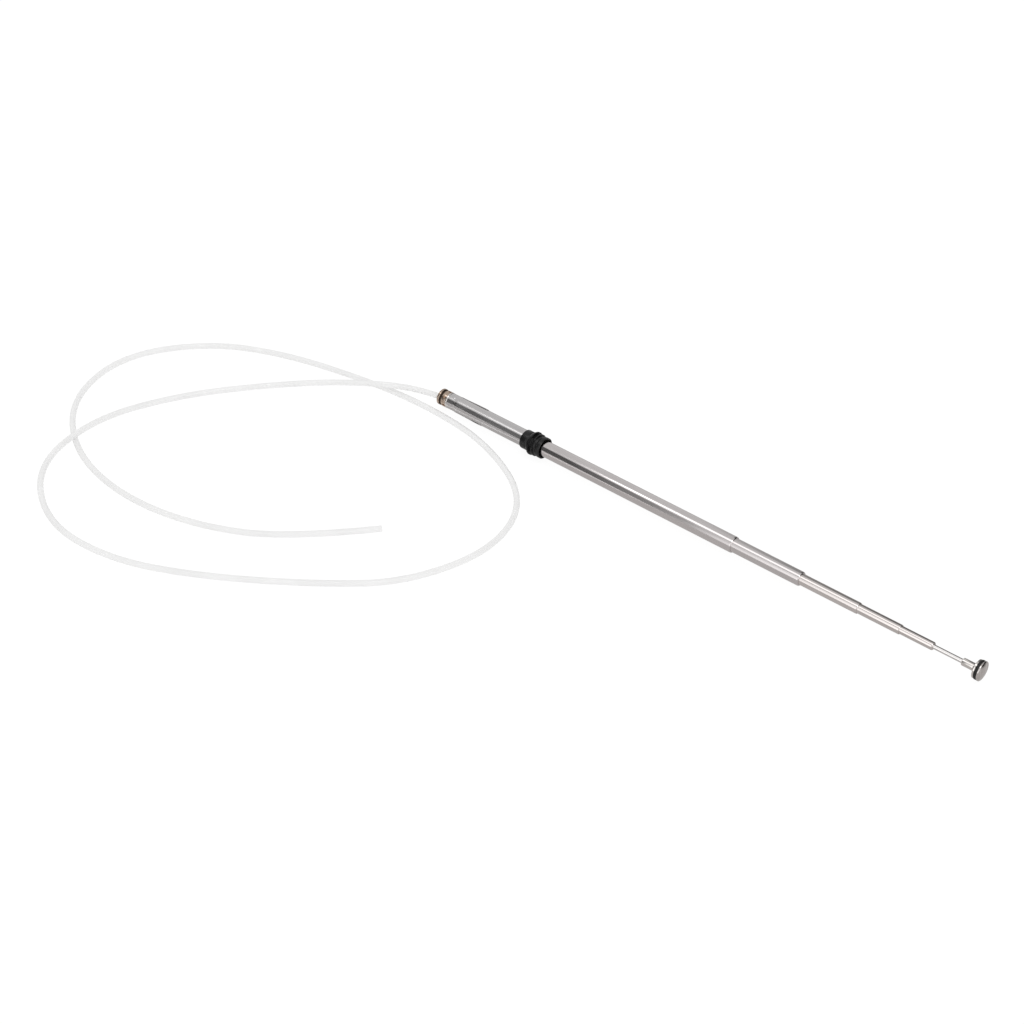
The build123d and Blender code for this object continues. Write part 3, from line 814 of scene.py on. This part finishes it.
def make_sleeve():
    """The contact sleeve: a staked neck, a body, and two sprung leaves cut from it."""
    start, stop = ends("contact_sleeve")
    body_r = reach("contact_sleeve", stop - SLACK, stop)
    root = ends("tube_1")[0]
    slot_x, leaf_end = root + LEAF_ROOT_GAP, root + LEAF_LENGTH
    peak, slot_end = leaf_end - LEAF_PEAK, leaf_end + LEAF_END_GAP
    neck_end = root - NECK_GAP

    def lift(x):
        if x < root:
            return 0.0
        if x <= peak:
            t = (x - root) / (peak - root)
            return LEAF_LIFT * t * t * (3 - 2 * t)
        return LEAF_LIFT * (1 - 0.5 * min(1.0, (x - peak) / LEAF_PEAK) ** 2)

    def leaf_at(angle):
        return any(abs(turn_between(angle, centre)) <= LEAF_HALF + 1e-6 for centre in LEAF_CENTRES)

    def radius_at(x, angle):
        step = min(1.0, max(0.0, (x - neck_end + NECK_STEP) / NECK_STEP))
        radius = body_r - NECK_DROP * (1 - step)
        radius -= 0.12 * MM * max(0.0, 1 - (x - start) / (0.15 * MM))
        radius -= 0.10 * MM * max(0.0, 1 - (stop - x) / (0.12 * MM))
        if leaf_at(angle) and x <= leaf_end + SLACK:
            radius += lift(x)
        for centre in DIMPLE_ANGLES:
            away = sqrt((x - DIMPLE_X) ** 2 + (turn_between(angle, centre) * body_r) ** 2) / DIMPLE_RADIUS
            if away < 1:
                radius -= DIMPLE_DEPTH * (1 - away * away) ** 2
        return radius

    def keep_face(x, angle):
        for centre in LEAF_CENTRES:
            away = abs(turn_between(angle, centre))
            if away < LEAF_HALF + SLOT and slot_x < x < slot_end:
                return away < LEAF_HALF and x < leaf_end
        return True

    columns = [2 * pi * k / ANGLES for k in range(ANGLES)]
    for centre in LEAF_CENTRES:
        for edge in (LEAF_HALF, LEAF_HALF + SLOT):
            columns += [(centre - edge) % (2 * pi), (centre + edge) % (2 * pi)]
    for centre in DIMPLE_ANGLES:
        columns += [(centre + radians(k)) % (2 * pi) for k in range(-7, 8)]
    columns = sorted(columns)
    columns = [a for i, a in enumerate(columns) if i == 0 or a - columns[i - 1] > radians(0.25)]
    stations = [start, start + 0.05 * MM, start + 0.1 * MM, start + 0.15 * MM]
    stations += [DIMPLE_X + DIMPLE_RADIUS * k / 6 for k in range(-6, 7)]
    stations += [neck_end - NECK_STEP, neck_end, slot_x, peak, leaf_end, slot_end]
    stations += [slot_x + (peak - slot_x) * k / 24 for k in range(1, 24)]
    stations += [peak + LEAF_PEAK * k / 6 for k in range(1, 6)]
    stations += [stop - 0.12 * MM, stop - 0.08 * MM, stop - 0.04 * MM, stop]
    stations = sorted(stations)
    name = "contact_sleeve_shell"
    solid = angled_sheet(name, columns, radius_at, stations, keep_face, SLEEVE_WALL, sleeve_metal)
    piece_of(solid, name, "mast_base", ["contact_sleeve"], sharp=25)


make_sleeve()

NOTCH_COUNT = 6
NOTCH_FIRST = radians(135)
NOTCH_WIDTH = 0.9 * MM
NOTCH_LENGTH = 1.6 * MM
NOTCH_DEPTH = 0.6 * MM


def make_ring():
    """The contact ring: a scored rim, a groove darkened with painted shade, and a band with notches across
    its front edge.
    """
    start, _ = ends("contact_ring")
    washer_x = ends("ring_washer")[0]
    rim_r = reach("contact_ring", start, start + 1 * MM)
    band_r = reach("contact_ring", washer_x - 0.5 * MM, washer_x)
    bore = inner("contact_ring", start, start + SLACK)
    groove_start, groove_stop, groove_r = start + 1.3 * MM, start + 2.7 * MM, rim_r - 0.5 * MM
    score = start + 0.55 * MM
    notch_x, notch_r = washer_x - NOTCH_LENGTH, band_r - NOTCH_DEPTH
    outline = rounded([
        (start, bore, 0),
        (start, rim_r, 0.18 * MM),
        (score - 0.1 * MM, rim_r, 0.03 * MM),
        (score, rim_r - 0.22 * MM, 0.02 * MM),
        (score + 0.1 * MM, rim_r, 0.03 * MM),
        (groove_start, rim_r, 0.2 * MM),
        (groove_start, groove_r, 0.1 * MM),
        (groove_stop, groove_r, 0.1 * MM),
        (groove_stop, band_r, 0.2 * MM),
        (notch_x, band_r, 0),
        (notch_x + 0.03 * MM, band_r, 0),
        (washer_x, band_r, 0.06 * MM),
        (washer_x, bore, 0),
    ])
    mesh = turned_mesh("notched_ring", outline, copper_metal, steps=720)
    pitch = 2 * pi / NOTCH_COUNT
    for vertex in mesh.vertices:
        x, y, z = vertex.co
        radius, angle = sqrt(y * y + z * z), atan2(z, y)
        away = abs((angle - NOTCH_FIRST + pitch / 2) % pitch - pitch / 2) * band_r
        if x > notch_x + SLACK / 2 and away < NOTCH_WIDTH / 2 and radius > notch_r:
            share = notch_r / radius
            vertex.co = (x, y * share, z * share)
    piece_of(mesh, "notched_ring", "mast_base", ["contact_ring"], sharp=25)


make_ring()


def make_washer():
    """The bright washer between the ring and the sleeve, more rounded on the sleeve's side."""
    start, stop = ends("ring_washer")
    outer = reach("ring_washer", start, stop)
    bore = inner("ring_washer", start, stop)
    corners = [(start, bore, 0), (start, outer, 0.1 * MM), (stop, outer, 0.3 * MM), (stop, bore, 0)]
    mesh = turned_mesh("bright_washer", rounded(corners), bright_metal)
    piece_of(mesh, "bright_washer", "mast_base", ["ring_washer"])


make_washer()

# ---------------------------------------------------------------- guide bush


FLATS_WALL = 1.30 * MM
FLATS_FACE = radians(144)


def make_bush():
    """The moulded bush: a flange, two barbed ridges with flats, a waisted barrel and a flared mouth."""
    start, stop = ends("guide_bush")
    tube_r = reach("tube_1", *ends("tube_1"))
    bore = inner("guide_bush", start, start + 2 * MM)

    def at(x, wall, size):
        """A corner so far from the rear face and outside tube_1, with its rounding, all in mm."""
        return (start + x * MM, tube_r + wall * MM, size * MM)

    outline = rounded([
        (start, bore, 0.1 * MM),
        at(0, 0.88, 0.45),
        at(3.5, 0.88, 0.3),
        at(3.9, 0.75, 0.1),
        at(5.7, 2.05, 0.15),
        at(6.5, 2.05, 0.15),
        at(6.53, 1.0, 0.08),
        at(7.2, 1.0, 0.1),
        at(8.1, 1.72, 0.12),
        at(8.8, 1.72, 0.12),
        at(8.83, 1.05, 0.08),
        at(10.2, 0.98, 0.5),
        at(10.95, 1.40, 0.3),
        at(12.7, 1.40, 0.15),
        at(12.7, 0.80, 0.12),
        at(9.5, 0.80, 0.1),
        (start + 9.5 * MM, bore, 0),
    ], steps=4)
    mesh = turned_mesh("ridged_bush", outline, black_plastic, steps=240)
    flat = tube_r + FLATS_WALL
    for vertex in mesh.vertices:
        x, y, z = vertex.co
        if start + 3.7 * MM < x < start + 9.0 * MM:
            height = y * cos(FLATS_FACE) + z * sin(FLATS_FACE)
            if abs(height) > flat:
                push = (flat - abs(height)) * (1 if height > 0 else -1)
                vertex.co = (x, y + push * cos(FLATS_FACE), z + push * sin(FLATS_FACE))
    piece_of(mesh, "ridged_bush", "bush", ["guide_bush"], sharp=35)


make_bush()

# ---------------------------------------------------------------- rod and tip

DOME_STEPS = 12


def turned_piece(name, node, material, corners):
    mesh = turned_mesh(name, rounded(corners), material)
    piece_of(mesh, name, "rod_and_tip", [node])


def make_tip():
    """The rod, its ferrule, and the tip: a coned base, a rubber ring and a brushed domed cap."""
    rod_x, rod_end = ends("tip_rod")
    rod_r = reach("tip_rod", rod_x, rod_end)
    turned_piece("bright_rod", "tip_rod", rod_metal, [
        (rod_x, 0, 0),
        (rod_x, rod_r, 0.15 * MM),
        (rod_end, rod_r, 0.1 * MM),
        (rod_end, 0, 0),
    ])
    start, stop = ends("tip_ferrule")
    ferrule_r = reach("tip_ferrule", start, stop)
    turned_piece("crimped_ferrule", "tip_ferrule", bright_metal, [
        (start, rod_r, 0.05 * MM),
        (start, ferrule_r, 0.28 * MM),
        (stop, ferrule_r, 0),
        (stop, rod_r, 0),
    ])
    seal_x, cap_x = ends("tip_seal")
    base_r = reach("tip_base", stop, seal_x)
    turned_piece("coned_base", "tip_base", cone_metal, [
        (stop, rod_r, 0),
        (stop, ferrule_r, 0),
        (stop + 0.2 * MM, ferrule_r + 0.3 * MM, 0.3 * MM),
        (stop + 1.25 * MM, base_r, 0.2 * MM),
        (seal_x, base_r, 0.12 * MM),
        (seal_x, rod_r, 0),
    ])
    seal_r = reach("tip_seal", seal_x, cap_x)
    turned_piece("rubber_ring", "tip_seal", black_rubber, [
        (seal_x, rod_r, 0),
        (seal_x, seal_r - 0.1 * MM, 0.2 * MM),
        (seal_x + 0.4 * MM, seal_r, 0.3 * MM),
        (cap_x - 0.4 * MM, seal_r, 0.3 * MM),
        (cap_x, seal_r - 0.1 * MM, 0.2 * MM),
        (cap_x, rod_r, 0),
    ])
    _, apex = ends("tip_cap")
    cap_r = reach("tip_cap", cap_x, apex)
    rim_end = cap_x + 0.7 * MM
    rise = apex - rim_end
    sphere = (cap_r**2 + rise**2) / (2 * rise)
    dome = []
    for k in range(DOME_STEPS):
        r = cap_r * 0.88 * (1 - k / DOME_STEPS)
        dome.append((apex - sphere + sqrt(sphere**2 - r * r), r, 0))
    turned_piece("domed_cap", "tip_cap", cap_metal, [
        (cap_x, 0, 0),
        (cap_x, cap_r, 0.15 * MM),
        (rim_end, cap_r, 0.42 * MM),
        *dome,
        (apex, 0, 0),
    ])


make_tip()

# ---------------------------------------------------------------- finishes of the CAD nodes that stay

FINISHES = {
    "rod_spring": bronze_metal,
    **{f"contact_spring_{number}": bronze_metal for number in range(2, 6)},
    "cable_crimp": bright_metal,
    "cable_stub": nylon,
    "cable_liner": nylon,
    "bush_wiper": black_rubber,
}
for node, material in FINISHES.items():
    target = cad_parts[node].data
    target.materials.clear()
    target.materials.append(material)
